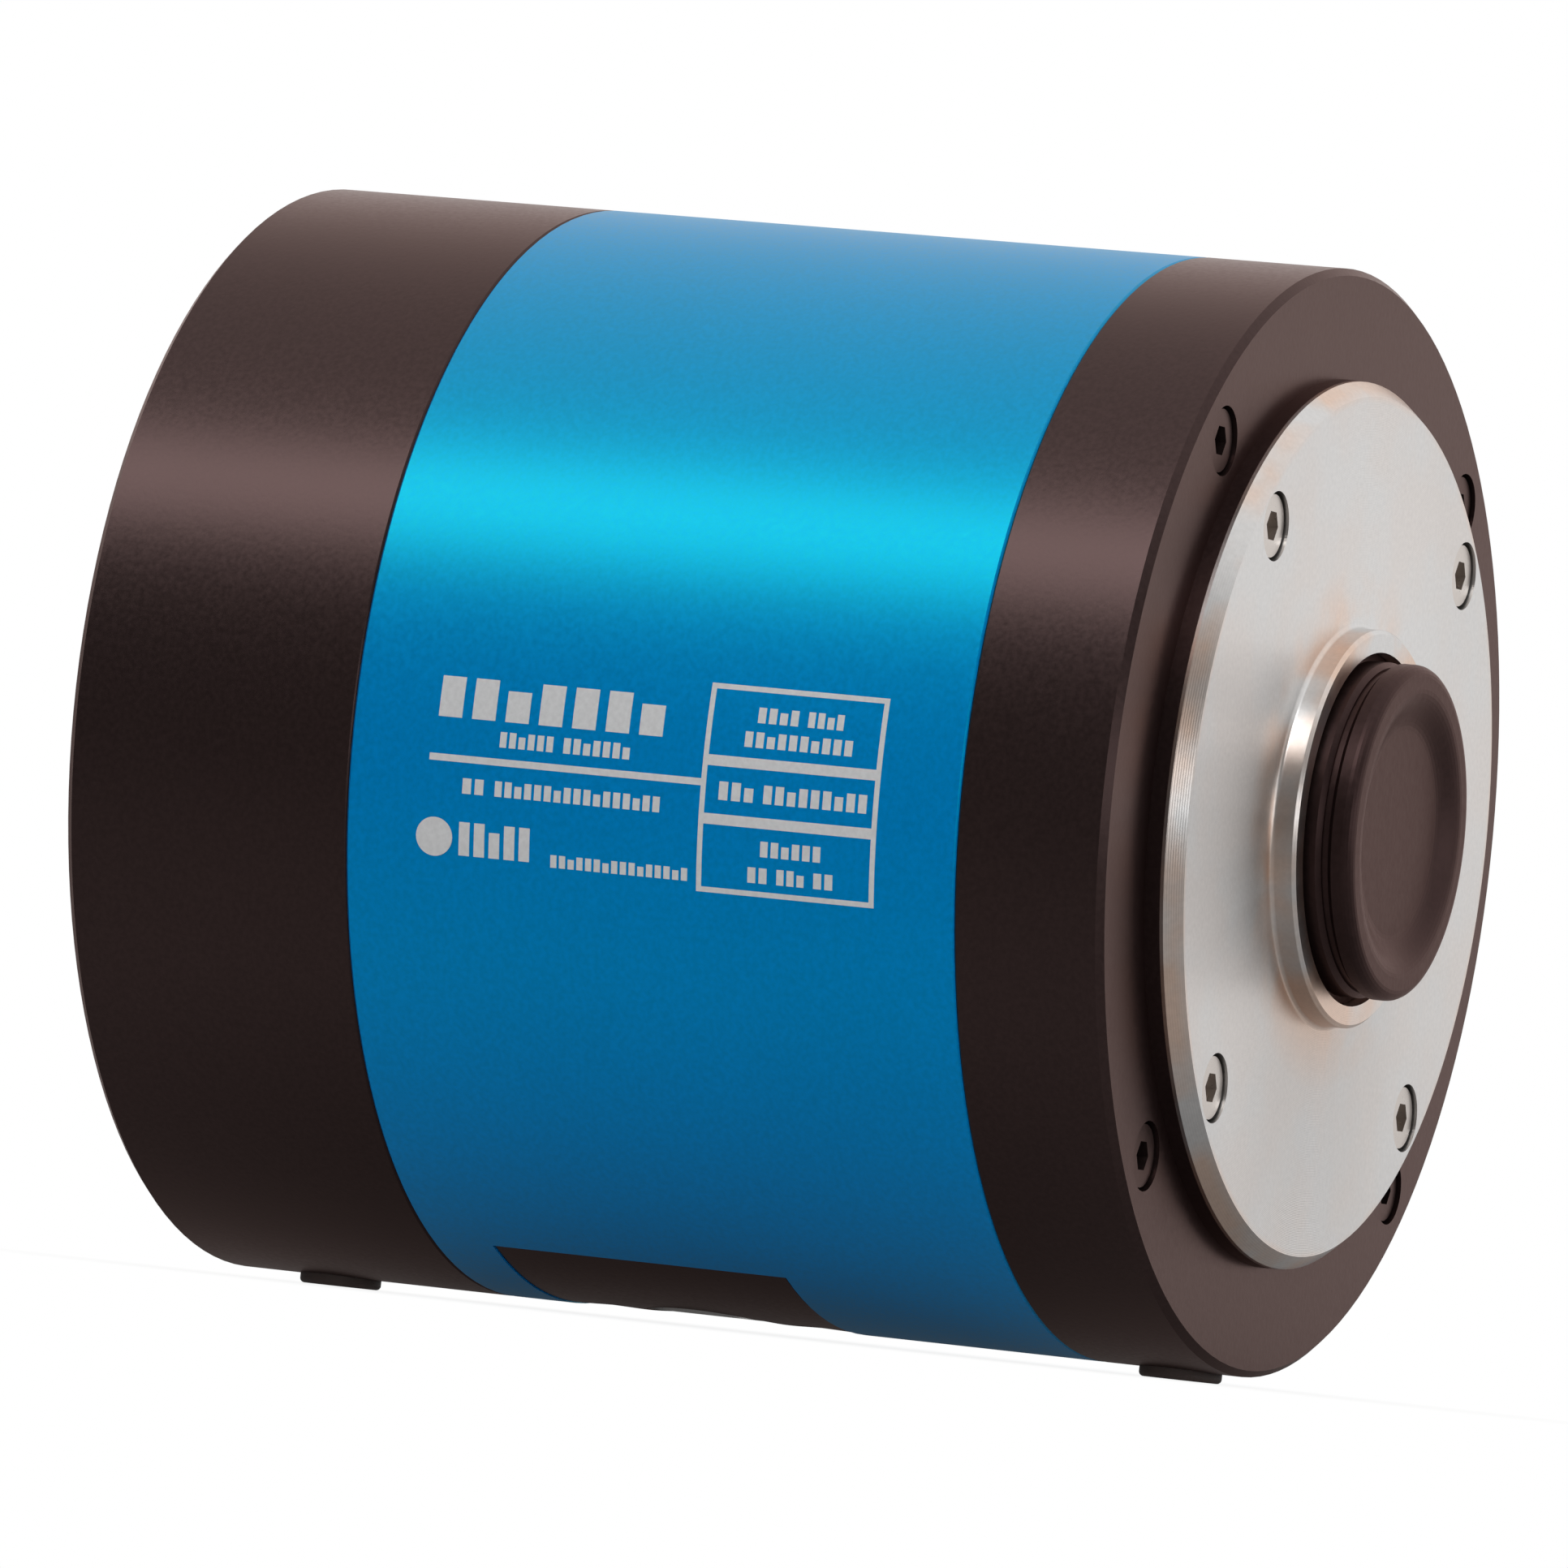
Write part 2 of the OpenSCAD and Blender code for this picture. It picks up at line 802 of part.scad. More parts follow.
// Base that closes the chamber, upright fins behind it, and two lugs under the main board
module heat_sink() {
    first = -(fin_count - 1) / 2 * fin_pitch;
    color("silver")
        difference() {
            union() {
                bar(spigot_r, base_y, fin_y);
                intersection() {
                    for (i = [0 : fin_count - 1])
                        translate([first + i * fin_pitch - fin_t / 2, fin_y - fit, fin_z])
                            cube([fin_t, fin_len + fit, 2 * bore_r]);
                    bar(fin_top, fin_y - fit, fin_y + fin_len);
                }
                for (side = [-1, 1])
                    board_lug(side);
            }
            four_around(chamber_screw_r, 0) {
                bar(clear_r, base_y - cut, fin_y);
                bar(cbore_r, fin_y - cbore_depth, fin_y + fin_len + cut);
            }
            four_around(standoff_at)
                bar(tap_r, base_y - cut, base_y + standoff_stud + fit);
            block(pot_w + fit, pot_h + fit, base_y - cut, fin_y + cut, 0, header_z);
            for (side = [-1, 1])
                board_screw_place(side)
                    cylinder(h = lug_h + cut, r = small_screw_r + thread_gap);
        }
}

// One lug under the main board; side is -1 or 1
module board_lug(side) {
    block(lug_w, lug_h, fin_y - fit, fin_y + lug_w, side * lug_x, lug_z);
}

// Where a main board screw's tip lies, pointing up
module board_screw_place(side) {
    translate([side * lug_x, fin_y + lug_w / 2, lug_z - lug_h / 2])
        children();
}

// Coloured middle section, with the cut-out for the base pad underneath
module sleeve() {
    color("deepskyblue")
        difference() {
            barrel(sleeve_y, rear_y, edge_break, edge_break);
            bar(bore_r, sleeve_y - cut, rear_y + cut);
            pad_sector(pad_in_r, body_r + cut, pad_y0, pad_y1, pad_half_angle);
            for (y = [sleeve_y - cut, rear_y - bite - cut])
                four_around(end_screw_r)
                    bar(tap_r, y, y + bite + 2 * cut);
            upright_hole(insert_neck_r + fit, 0, pad_y);
            translate([0, pad_y, -body_r - cut])
                cylinder(h = body_r + cut - insert_floor, r = insert_r + fit);
            for (side = [-1, 1])
                upright_hole(tap_r, 0, pad_y + side * pad_screw_at);
        }
}

// A sector of a tube under the body, from y0 to y1
module pad_sector(r_in, r_out, y0, y1, half_angle) {
    translate([0, y0, 0])
        turned()
            rotate([0, 0, 90 - half_angle])
                rotate_extrude(angle = 2 * half_angle)
                    translate([r_in, 0])
                        square([r_out - r_in, y1 - y0]);
}

// A hole straight down through the bottom wall
module upright_hole(r, x, y) {
    translate([x, y, -body_r - cut])
        cylinder(h = sleeve_wall + 2 * cut, r = r);
}

// Curved pad let into the cut-out
module base_pad() {
    side_gap = asin(pad_gap / pad_out_r);
    color("#3a3330")
        difference() {
            pad_sector(pad_in_r + fit / 2, pad_out_r, pad_y0 + pad_gap, pad_y1 - pad_gap,
                pad_half_angle - side_gap);
            upright_hole(insert_r + fit, 0, pad_y);
            for (side = [-1, 1]) {
                upright_hole(clear_r, 0, pad_y + side * pad_screw_at);
                translate([0, pad_y + side * pad_screw_at, -pad_out_r - cut])
                    cylinder(h = pad_cbore + cut, r = cbore_r);
            }
        }
}

// Two low-head screws that hold the pad to the sleeve
module base_pad_screws() {
    color("#2b2725")
        for (side = [-1, 1])
            translate([0, pad_y + side * pad_screw_at, pad_cbore - pad_out_r])
                difference() {
                    union() {
                        translate([0, 0, -pad_head_h])
                            cylinder(h = pad_head_h, r = head_r);
                        translate([0, 0, -fit])
                            cylinder(h = pad_t + pad_cbore, r = screw_r);
                    }
                    translate([0, 0, -pad_head_h - cut])
                        cylinder(h = pad_head_h / 2 + cut, r = hex_w / sqrt(3), $fn = 6);
                }
}

// Threaded steel insert for a tripod or bracket screw
module tripod_insert() {
    color("silver")
        difference() {
            union() {
                translate([0, pad_y, -insert_face])
                    cylinder(h = insert_face - insert_floor, r = insert_r);
                translate([0, pad_y, -insert_floor - fit])
                    cylinder(h = insert_floor + fit - bore_r + insert_stand, r = insert_neck_r);
            }
            translate([0, pad_y, -body_r - cut])
                cylinder(h = sleeve_wall + insert_stand + 2 * cut, r = tripod_r);
        }
}

// Two rubber feet pressed into pockets, with rounded lower edges
module rubber_feet() {
    color("#2b2725")
        for (y = [foot_y_front, foot_y_rear])
            translate([0, y, -body_r - foot_h])
                rotate_extrude()
                    difference() {
                        square([foot_r, foot_h + foot_sink]);
                        translate([foot_r - foot_round, 0])
                            difference() {
                                translate([0, -cut])
                                    square([foot_round + cut, foot_round + cut]);
                                translate([0, foot_round])
                                    circle(r = foot_round, $fn = 32);
                            }
                    }
}

// The pocket that a foot is pressed into
module foot_pocket(y) {
    translate([0, y, -body_r - cut])
        cylinder(h = foot_sink + cut, r = foot_r + fit);
}

// ---- boards and sockets --------------------------------------------------------------------

// Long board under the fins
module main_board() {
    color("darkgreen")
        difference() {
            block(main_w, board_t, main_y, io_y - io_gap, 0, main_z - board_t / 2);
            for (side = [-1, 1])
                board_screw_place(side)
                    cylinder(h = lug_h + board_t + cut, r = small_screw_r + shank_gap);
        }
}

// Processor and two memory chips on the main board's underside
module main_board_chips() {
    z = main_z - board_t - chip_t / 2;
    y0 = main_y + chip_y;
    y = y0 + ram_len / 2;
    color("black") {
        block(cpu_w, chip_t, y - cpu_w / 2, y + cpu_w / 2, 0, z);
        for (side = [-1, 1])
            block(ram_w, chip_t, y0, y0 + ram_len, side * ram_x, z);
    }
}

// Two small screws that hold the main board to the lugs
module main_board_screws() {
    color("gainsboro")
        for (side = [-1, 1])
            translate([side * lug_x, fin_y + lug_w / 2, main_z]) {
                cylinder(h = small_head_h, r = small_head_r);
                translate([0, 0, -board_t - lug_h + cut])
                    cylinder(h = board_t + lug_h - cut + fit, r = small_screw_r);
            }
}

// Socket on the main board that takes the sensor pins
module board_connector() {
    color("black")
        difference() {
            block(pot_w, header_z + header_h - main_z, fin_y, fin_y + connector_len,
                0, (main_z + header_z + header_h) / 2);
            pins(pin_r + fit, fin_y - cut, fin_y + connector_len - pin_cover + fit);
        }
}

// Right-angle header between the main board and the socket board
module io_header() {
    color("black")
        block(io_header_w, io_header_h, io_y - io_header_depth, io_y, 0,
            main_z + io_header_h / 2);
}

// Board that carries the sockets
module io_board() {
    color("darkgreen")
        difference() {
            block(io_w, io_h, io_y, io_y + board_t, 0, io_z - io_h / 2);
            for (side = [-1, 1])
                bar(small_screw_r + shank_gap, io_y - cut, io_y + board_t + cut,
                    side * post_x, post_z);
        }
}

// Two posts that hold the socket board to the end wall
module io_board_posts() {
    color("silver")
        for (side = [-1, 1]) {
            bar(io_post_r, io_y + board_t, wall_y, side * post_x, post_z);
            bar(small_screw_r, io_y - io_post_screw, io_y + board_t + fit, side * post_x, post_z);
        }
}

// Metal shell of the USB type B socket, flush with the end wall
module usb_socket() {
    y1 = end_y - socket_set_back;
    color("silver")
        difference() {
            block(usb_w, usb_h, io_y + board_t, y1, usb_x, usb_z);
            block(usb_w - 2 * shell_t, usb_h - 2 * shell_t, y1 - usb_depth, y1 + cut,
                usb_x, usb_z);
        }
}

// Contact tongue inside the USB socket
module usb_tongue() {
    y1 = end_y - socket_set_back;
    y0 = y1 - usb_depth;
    tip = y1 - contact_set_back;
    color("royalblue") {
        block(tongue_w, tongue_h, y0, tip, usb_x, usb_z - tongue_drop);
        block(key_w, key_h, y0, tip, usb_x, usb_z + key_z);
    }
}

// Barrel socket for the 12 V supply
module dc_jack() {
    y1 = end_y - socket_set_back;
    color("black")
        difference() {
            block(jack_w, jack_h, io_y + board_t, y1, jack_x, usb_z);
            bar(jack_r, y1 - jack_depth, y1 + cut, jack_x, usb_z);
        }
}

// Centre pin of the barrel socket
module dc_jack_pin() {
    y1 = end_y - socket_set_back;
    color("gold")
        bar(jack_pin_r, y1 - jack_depth, y1 - contact_set_back, jack_x, usb_z);
}

// Indicator lamp on the socket board, its lens in the end wall
module status_led() {
    color("limegreen")
        bar(led_r, io_y + board_t, end_y - socket_set_back, 0, led_z);
}

// ---- fan -----------------------------------------------------------------------------------

// Square frame with four stays that carry the bush post
module fan_frame() {
    hub_plate = fan_y + fan_t - stay_t;
    color("#222222")
        difference() {
            union() {
                difference() {
                    round_block(fan_w, fan_w, fan_corner, fan_y, wall_y, 0, fan_z);
                    bar(fan_bore_r, fan_y - cut, wall_y + cut, 0, fan_z);
                }
                bar(rotor_hub_r, hub_plate, wall_y, 0, fan_z);
                block(2 * fan_bore_r + cut, stay_w, hub_plate, wall_y, 0, fan_z);
                block(stay_w, 2 * fan_bore_r + cut, hub_plate, wall_y, 0, fan_z);
                bar(post_r, fan_y + post_in, wall_y, 0, fan_z);
            }
            bar(bush_r + fit, fan_y, hub_plate, 0, fan_z);
            four_corners(fan_hole_at, fan_z)
                bar(fan_hole_r, fan_y - cut, wall_y + cut);
        }
}

// Bronze bush in the post
module fan_bush() {
    color("peru")
        tube(bush_r, shaft_r + running, fan_y + post_in, wall_y - stay_t, 0, fan_z);
}

// Wound core around the post
module fan_stator() {
    r = rotor_hub_r - rotor_wall - magnet_t - stator_gap;
    y0 = fan_y + stator_in;
    y1 = wall_y - stay_t;
    color("orangered")
        difference() {
            union() {
                block(2 * r, stator_arm, y0, y1, 0, fan_z);
                block(stator_arm, 2 * r, y0, y1, 0, fan_z);
                bar(post_r + stator_core, y0, y1, 0, fan_z);
            }
            bar(post_r + fit, fan_y, wall_y + cut, 0, fan_z);
            tube(rotor_hub_r, r, fan_y, wall_y + cut, 0, fan_z);
        }
}

// Cup-shaped hub with flat pitched blades
module fan_rotor() {
    y0 = fan_y + rotor_in;
    y1 = wall_y - stay_t - rotor_gap;
    tip_r = fan_bore_r - blade_tip;
    color("#222222")
        difference() {
            union() {
                bar(rotor_hub_r, y0, y1, 0, fan_z);
                intersection() {
                    tube(tip_r, rotor_hub_r - rotor_wall, y0, y1, 0, fan_z);
                    for (i = [0 : blade_count - 1])
                        translate([0, (y0 + y1) / 2, fan_z])
                            rotate([0, i * 360 / blade_count, 0])
                                rotate([blade_pitch, 0, 0])
                                    translate([0, -fan_t, -blade_t / 2])
                                        cube([tip_r + cut, 2 * fan_t, blade_t]);
                }
            }
            bar(rotor_hub_r - rotor_wall, y0 + rotor_wall, y1 + cut, 0, fan_z);
            bar(shaft_r, y0 - cut, y1, 0, fan_z);
        }
}

// Magnet ring inside the rotor's cup
module rotor_magnet() {
    r = rotor_hub_r - rotor_wall;
    color("gray")
        tube(r, r - magnet_t, fan_y + rotor_in + rotor_wall, wall_y - stay_t - rotor_gap,
            0, fan_z);
}

// Steel shaft fixed in the rotor, turning in the bush
module fan_shaft() {
    color("gainsboro")
        bar(shaft_r, fan_y + rotor_in, wall_y - stay_t - shaft_gap, 0, fan_z);
}

// Four screws through the end wall into the fan's corners
module fan_screws() {
    color("#2b2725")
        four_corners(fan_hole_at, fan_z) {
            bar(head_r, end_y - fan_sink, end_y - fan_head_in);
            bar(fan_screw_r, wall_y - fan_screw_in, end_y - fan_sink + fit);
        }
}

// Lead from the fan's frame down to the socket board
module fan_lead() {
    top = fan_z - fan_w / 2;
    y = fan_y + lead_in;
    color("black") {
        translate([lead_x, y, io_z - lead_drop])
            cylinder(h = top - io_z + lead_drop, r = lead_w / 2, $fn = 24);
        translate([lead_x, io_y + board_t, io_z - lead_drop])
            turned()
                cylinder(h = y - io_y - board_t, r = lead_w / 2, $fn = 24);
        translate([lead_x, y, io_z - lead_drop])
            sphere(r = lead_w / 2, $fn = 24);
    }
}

// ---- rear casing ---------------------------------------------------------------------------

// Cup-shaped rear end, with its grille, socket openings and screw bosses
module rear_casing() {
    shell_in_r = body_r - casing_wall;
    boss = 3.1;
    color("#3a3330")
        difference() {
            union() {
                difference() {
                    barrel(rear_y, end_y, edge_break, face_chamfer);
                    bar(spigot_in_r, rear_y - cut, wall_y);
                    bar(shell_in_r, rear_y + spigot_len, wall_y);
                }
                tube(spigot_r, spigot_in_r, rear_y - spigot_len, rear_y + cut);
                intersection() {
                    four_around(end_screw_r)
                        bar(boss, rear_y + cut, wall_y + cut);
                    bar(body_r - edge_break, rear_y, end_y);
                }
            }
            four_around(end_screw_r) {
                bar(cbore_r, end_y - cbore_depth, end_y + cut);
                bar(clear_r, rear_y - cut, end_y);
            }
            intake_slots();
            exhaust_slots();
            four_corners(fan_hole_at, fan_z) {
                bar(fan_screw_r + shank_gap, wall_y - cut, end_y + cut);
                bar(cbore_r, end_y - fan_sink, end_y + cut);
            }
            block(usb_w + 2 * socket_gap, usb_h + 2 * socket_gap, wall_y - cut, end_y + cut,
                usb_x, usb_z);
            block(jack_w + 2 * socket_gap, jack_h + 2 * socket_gap, wall_y - cut, end_y + cut,
                jack_x, usb_z);
            bar(led_r + fit, wall_y - cut, end_y + cut, 0, led_z);
            foot_pocket(foot_y_rear);
        }
}

// Rings of four arcs each ahead of the fan
module intake_slots() {
    for (i = [0 : slot_rings - 1]) {
        r = slot_first + i * slot_pitch;
        half = 45 - asin((slot_bridge / 2 + slot_w / 2) / r);
        for (a = [0 : 90 : 270])
            arc_slot(r, a - half, a + half, fan_z);
    }
}

// Two arcs on each side of the fan, where the warm air leaves
module exhaust_slots() {
    for (r = exhaust_r, a = [0, 180])
        arc_slot(r, a - exhaust_half, a + exhaust_half);
}

// Four long screws from the end wall into the sleeve
module rear_screws() {
    color("#2b2725")
        four_around(end_screw_r)
            translate([0, end_y - cbore_depth + head_h, 0])
                rotate([0, 0, 180])
                    socket_screw(0, rear_len - cbore_depth + bite);
}

dust_plug();
c_mount_flange();
flange_screws();
flange_o_ring();
window_gasket();
window_glass();
window_retainer();
front_ring();
front_ring_screws();
chamber_ring();
chamber_seals();
chamber_screws();
sensor_package();
sensor_die();
sensor_cover_glass();
sensor_board();
sensor_standoffs();
sensor_board_screws();
cold_finger();
peltier_cold_plate();
peltier_pellets();
peltier_hot_plate();
sensor_header();
feedthrough_potting();
feedthrough_pins();
heat_sink();
sleeve();
base_pad();
base_pad_screws();
tripod_insert();
rubber_feet();
main_board();
main_board_chips();
main_board_screws();
board_connector();
io_header();
io_board();
io_board_posts();
usb_socket();
usb_tongue();
dc_jack();
dc_jack_pin();
status_led();
fan_frame();
fan_bush();
fan_stator();
fan_rotor();
rotor_magnet();
fan_shaft();
fan_screws();
fan_lead();
rear_casing();
rear_screws();
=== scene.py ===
import json
import math

import bpy
import numpy as np
from mathutils import Matrix, Vector


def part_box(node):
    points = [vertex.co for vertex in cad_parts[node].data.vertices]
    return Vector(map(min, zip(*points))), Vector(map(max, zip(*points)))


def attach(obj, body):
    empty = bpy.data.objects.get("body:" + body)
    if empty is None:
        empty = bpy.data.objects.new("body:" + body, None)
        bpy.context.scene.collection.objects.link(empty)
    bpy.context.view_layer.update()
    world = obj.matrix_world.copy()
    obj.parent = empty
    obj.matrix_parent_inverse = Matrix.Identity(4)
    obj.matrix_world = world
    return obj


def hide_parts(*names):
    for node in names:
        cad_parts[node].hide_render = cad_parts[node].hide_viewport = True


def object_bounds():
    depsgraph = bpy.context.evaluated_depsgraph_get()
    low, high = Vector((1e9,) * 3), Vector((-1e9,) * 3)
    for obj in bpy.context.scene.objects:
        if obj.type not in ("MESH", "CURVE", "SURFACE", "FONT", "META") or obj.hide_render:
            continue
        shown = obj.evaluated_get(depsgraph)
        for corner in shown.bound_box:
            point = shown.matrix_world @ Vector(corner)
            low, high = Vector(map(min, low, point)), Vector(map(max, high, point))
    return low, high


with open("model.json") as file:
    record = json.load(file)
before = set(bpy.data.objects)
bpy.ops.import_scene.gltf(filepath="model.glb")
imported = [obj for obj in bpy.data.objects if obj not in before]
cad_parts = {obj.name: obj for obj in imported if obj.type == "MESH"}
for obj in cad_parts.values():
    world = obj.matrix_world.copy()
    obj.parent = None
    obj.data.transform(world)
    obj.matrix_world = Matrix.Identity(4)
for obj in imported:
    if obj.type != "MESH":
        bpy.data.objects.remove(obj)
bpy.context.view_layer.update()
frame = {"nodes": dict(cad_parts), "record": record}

MM = 0.001
INCH = 25.4
MOUNTS = {m["name"]: m for m in frame["record"]["mounts"]}

# The room is brightest along this line, up and towards +X, and dim at -X and below.
BRIGHT_SIDE = (0.6, 0.0, 0.8)
ROOM_DIM = 0.165
ROOM_BRIGHT = 0.92

# The floor lies this much under the feet, so that it shares no face with them.
FLOOR_GAP = 0.00002
FLOOR_HALF = 3.0

# The printed film's thickness, and the height of its outer face above the sleeve.
INK_FILM = 0.00003
INK_RISE = 0.00002

# Most values of a noise pattern lie between these two.
NOISE_MIDDLE = (0.3, 0.7)
# How often the slow mottle and the fine grain vary, in cells per metre.
MOTTLE = 60.0
GRAIN = 2600.0


# ---- shader nodes --------------------------------------------------------------------------

def set_inputs(tree, node, inputs):
    """Gives each input, by its name or number, a value or a link from another node's output."""
    for key, value in inputs.items():
        if isinstance(value, bpy.types.NodeSocket):
            tree.links.new(value, node.inputs[key])
        else:
            node.inputs[key].default_value = value


def add_node(tree, kind, inputs=None, **settings):
    """A shader node of one kind, with its settings first and then its inputs."""
    node = tree.nodes.new("ShaderNode" + kind)
    for name, value in settings.items():
        setattr(node, name, value)
    set_inputs(tree, node, inputs or {})
    return node


def new_material(name):
    """A material of one shader; returns it with its node tree and the shader."""
    material = bpy.data.materials.new(name)
    material.use_nodes = True
    return material, material.node_tree, material.node_tree.nodes["Principled BSDF"]


def object_place(tree):
    """The place on the piece in Object coordinates, which are the frame's own metres."""
    return add_node(tree, "TexCoord").outputs["Object"]


def spread(tree, source, low, high, from_low=0.0, from_high=1.0):
    """Carries a pattern's values from_low to from_high evenly onto low to high."""
    ends = {"From Min": from_low, "From Max": from_high, "To Min": low, "To Max": high}
    return add_node(tree, "MapRange", {"Value": source, **ends}).outputs["Result"]


def combine(tree, operation, first, second=0.0):
    """One sum, product, larger value or sine of outputs and numbers."""
    return add_node(tree, "Math", {0: first, 1: second}, operation=operation).outputs[0]


def noise(tree, vector, scale, detail=2.0):
    """A noise pattern of 0 to 1 on a vector."""
    return add_node(tree, "TexNoise", {"Vector": vector, "Scale": scale,
                                       "Detail": detail}).outputs["Fac"]


def tinted(tree, colour, factor):
    """A colour multiplied by a pattern."""
    return add_node(tree, "VectorMath", {0: colour, "Scale": factor},
                    operation="SCALE").outputs["Vector"]


def relief(tree, height, strength, depth):
    """A normal that follows a height pattern of a given depth."""
    return add_node(tree, "Bump", {"Height": height, "Strength": strength,
                                   "Distance": depth}).outputs["Normal"]


def camera_sees(tree, seen, lit):
    """One shader for the camera's own rays, and the other for all rays that light the object."""
    ray = add_node(tree, "LightPath").outputs["Is Camera Ray"]
    return add_node(tree, "MixShader", {0: ray, 1: lit, 2: seen}).outputs[0]


# ---- camera, light and floor ---------------------------------------------------------------

def aim_camera():
    """Camera on a sphere about a point on the optical axis: azimuth from -Y, elevation above the
    horizon, then turned about its own view by the roll."""
    azimuth, elevation, roll = (math.radians(v) for v in (-67.52, -2.05, 6.3))
    target = Vector((-0.0023, 0.0444, -0.0008))
    distance = 1.031
    back = Vector((math.sin(azimuth) * math.cos(elevation),
                   -math.cos(azimuth) * math.cos(elevation),
                   math.sin(elevation)))
    level = Vector((0, 0, 1)).cross(back).normalized()
    upright = back.cross(level)
    right = level * math.cos(roll) + upright * math.sin(roll)
    up = upright * math.cos(roll) - level * math.sin(roll)
    data = bpy.data.cameras.new("camera")
    data.lens = 325.2
    data.sensor_width = 36.0
    data.clip_start = 0.05
    camera = bpy.data.objects.new("camera", data)
    turn = Matrix((right, up, back)).transposed().to_4x4()
    camera.matrix_world = Matrix.Translation(target + back * distance) @ turn
    bpy.context.scene.collection.objects.link(camera)
    bpy.context.scene.camera = camera


def soft_light(name, centre, towards, size, watts):
    """A rectangular soft box at centre that faces a point; size is its long and short side."""
    data = bpy.data.lights.new(name, "AREA")
    data.shape = "RECTANGLE"
    data.size, data.size_y = size
    data.energy = watts
    light = bpy.data.objects.new(name, data)
    light.location = centre
    light.rotation_euler = (Vector(towards) - Vector(centre)).to_track_quat("-Z", "Y").to_euler()
    light.visible_camera = False
    bpy.context.scene.collection.objects.link(light)
    return light


def paint_room():
    """White surroundings for the camera. The object sees a room whose brightness rises smoothly
    from dim to bright with the direction's share along the bright side's line."""
    world = bpy.data.worlds.new("studio")
    bpy.context.scene.world = world
    world.use_nodes = True
    tree = world.node_tree
    tree.nodes.clear()
    way = add_node(tree, "TexCoord").outputs["Generated"]
    share = add_node(tree, "VectorMath", {0: way, 1: BRIGHT_SIDE}, operation="DOT_PRODUCT")
    rise = add_node(tree, "MapRange", {"Value": share.outputs["Value"],
                                       "From Min": 0.05, "From Max": 0.60,
                                       "To Min": ROOM_DIM, "To Max": ROOM_BRIGHT},
                    interpolation_type="SMOOTHSTEP")
    lit = add_node(tree, "Background", {"Color": (1.0, 0.985, 0.975, 1),
                                        "Strength": rise.outputs["Result"]})
    seen = add_node(tree, "Background", {"Color": (1, 1, 1, 1), "Strength": 1.0})
    add_node(tree, "OutputWorld", {"Surface": camera_sees(tree, seen.outputs[0], lit.outputs[0])})


def light_studio():
    """A long soft box above the -X side draws the highlight along the barrel, one low in front
    catches the edges that face the lens side, and one at -X, which no gloss shows, only lifts
    the dyes' own colour."""
    bpy.context.scene.view_settings.view_transform = "Standard"
    paint_room()
    key = soft_light("key", centre=(-0.66, 0.45, 0.74), towards=(0, 0.45, 0),
                     size=(1.7, 0.33), watts=7.8)
    key.visible_diffuse = False
    soft_light("front", centre=(-0.12, -0.95, 0.06), towards=(0, 0, 0.03),
               size=(1.1, 0.22), watts=1.35)
    fill = soft_light("fill", centre=(-1.0, -0.30, 0.06), towards=(0, 0.04, 0),
                      size=(1.0, 0.6), watts=6.0)
    fill.visible_glossy = False


def floor_paint(height):
    """For the camera, a pale paint with the soft contact shadow, which fades into white between
    20 and 80 mm from the middle. For the object, a painted glow that grows from -X to +X, as the
    room's does, with a painted shadow, dim in an oval under the object."""
    material, tree, pale = new_material("floor_paint")
    set_inputs(tree, pale, {"Base Color": (0.80, 0.79, 0.78, 1), "Roughness": 0.9})
    place = object_place(tree)
    across = add_node(tree, "SeparateXYZ", {0: place}).outputs["X"]
    # A painted shadow for the object's rays: the floor's glow is dimmed in this oval under the
    # object.
    oval = add_node(tree, "Mapping", {"Vector": place, "Location": (0, 0.042, height),
                                      "Scale": (0.055, 0.085, 1)}, vector_type="TEXTURE")
    under = add_node(tree, "VectorMath", {0: oval.outputs["Vector"]}, operation="LENGTH")
    # Painted light: the glow's strength rises towards +X and falls in the painted shadow's oval.
    strength = combine(tree, "MULTIPLY",
                       spread(tree, across, 0.18, 0.60, -0.25, 0.30),
                       spread(tree, under.outputs["Value"], 0.28, 1.0, 0.25, 1.05))
    glow = add_node(tree, "Emission", {"Color": (1.0, 0.98, 0.97, 1), "Strength": strength})
    away = add_node(tree, "VectorMath", {0: place, 1: (0, 0.04, height)}, operation="DISTANCE")
    white = add_node(tree, "Emission", {"Color": (1, 1, 1, 1)})
    fade = add_node(tree, "MixShader", {
        0: spread(tree, away.outputs["Value"], 0.88, 1.0, 0.02, 0.08),
        1: pale.outputs[0],
        2: white.outputs[0]})
    set_inputs(tree, tree.nodes["Material Output"],
               {"Surface": camera_sees(tree, fade.outputs[0], glow.outputs[0])})
    return material


def lay_floor():
    """A plain square floor under the feet."""
    low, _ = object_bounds()
    corners = [(-1, -1), (1, -1), (1, 1), (-1, 1)]
    mesh = bpy.data.meshes.new("floor")
    mesh.from_pydata([(x * FLOOR_HALF, y * FLOOR_HALF, low[2] - FLOOR_GAP) for x, y in corners],
                     [], [(0, 1, 2, 3)])
    mesh.materials.append(floor_paint(low[2]))
    floor = bpy.data.objects.new("floor", mesh)
    bpy.context.scene.collection.objects.link(floor)


# ---- finishes ------------------------------------------------------------------------------

